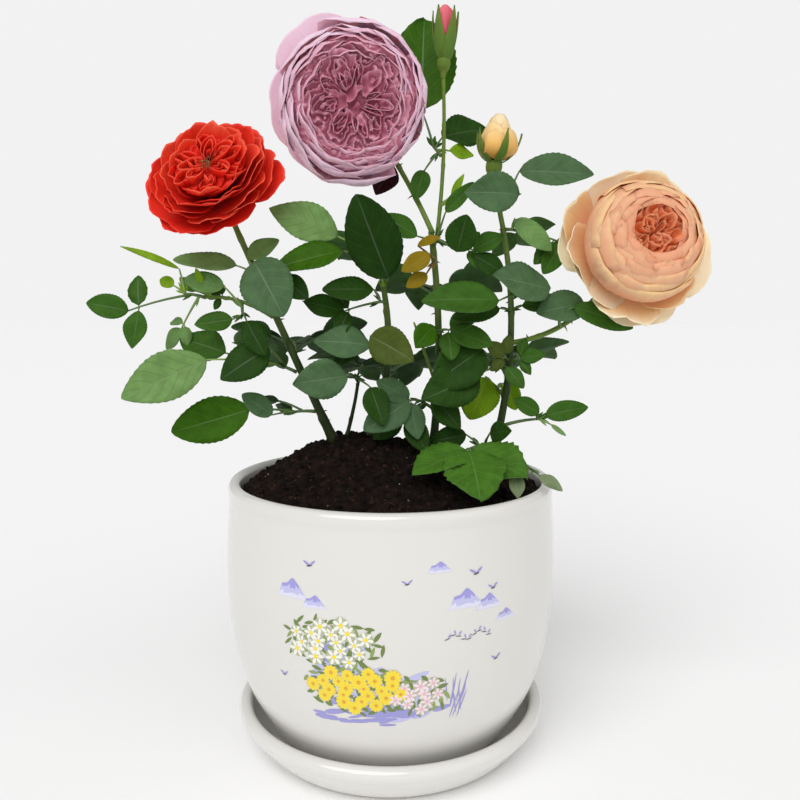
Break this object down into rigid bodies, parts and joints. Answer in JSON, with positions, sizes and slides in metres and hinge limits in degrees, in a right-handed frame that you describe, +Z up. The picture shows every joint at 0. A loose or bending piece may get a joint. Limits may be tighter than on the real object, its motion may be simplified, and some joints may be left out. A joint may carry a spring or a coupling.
{
  "type": "potted rose bush",
  "caption": "A rose bush with full red, mauve and apricot blooms and buds, in a round white glazed pot standing in its saucer",
  "frame": {"origin": "centre of the saucer's flat underside", "axes": "+Z up, -Y towards the front of the plant, +X to its right as it is looked at"},
  "size_m": [0.3125, 0.1736, 0.3827],
  "materials": {
    "glaze": "glossy white glaze",
    "soil": "crumbly, matt",
    "cane": "smooth green bark",
    "leaf": "leathery, half gloss",
    "leaf_bronze": "young bronze leaf",
    "leaf_lime": "young lime green leaf",
    "sepal": "matt",
    "petal_red": "velvety petal",
    "petal_mauve": "satin petal",
    "petal_apricot": "satin petal",
    "petal_rose": "satin petal",
    "petal_buff": "satin petal"
  },
  "bodies": {
    "root": {"apricot_bloom": "petal_apricot", "apricot_calyx": "sepal", "buff_bud": "petal_buff", "buff_bud_calyx": "sepal", "cane_left": "cane", "cane_mid": "cane", "cane_mid_left": "cane", "cane_right": "cane", "leaves_back": "leaf", "leaves_back_left": "leaf", "leaves_back_right": "leaf", "leaves_back_top": "leaf", "leaves_bronze": "leaf_bronze", "leaves_centre": "leaf", "leaves_centre_left": "leaf", "leaves_centre_low": "leaf", "leaves_centre_top": "leaf", "leaves_far_left": "leaf", "leaves_fork": "leaf", "leaves_front": "leaf", "leaves_left": "leaf", "leaves_left_side": "leaf", "leaves_left_top": "leaf", "leaves_lime": "leaf_lime", "leaves_low_left": "leaf", "leaves_mid_front": "leaf", "leaves_mid_low": "leaf", "leaves_right": "leaf", "leaves_right_low": "leaf", "leaves_right_out": "leaf", "leaves_right_top": "leaf", "leaves_right_twig": "leaf", "leaves_right_upper": "leaf", "leaves_rim": "leaf", "leaves_top": "leaf", "mauve_bloom": "petal_mauve", "mauve_calyx": "sepal", "pot": "glaze", "red_bloom": "petal_red", "red_calyx": "sepal", "rose_bud": "petal_rose", "rose_bud_calyx": "sepal", "saucer": "glaze", "shoot_left": "cane", "shoot_mid": "cane", "side_left": "cane", "soil": "soil", "stalk_apricot": "cane", "stalk_bud": "cane", "stalk_mauve": "cane"}
  },
  "joints": []
}
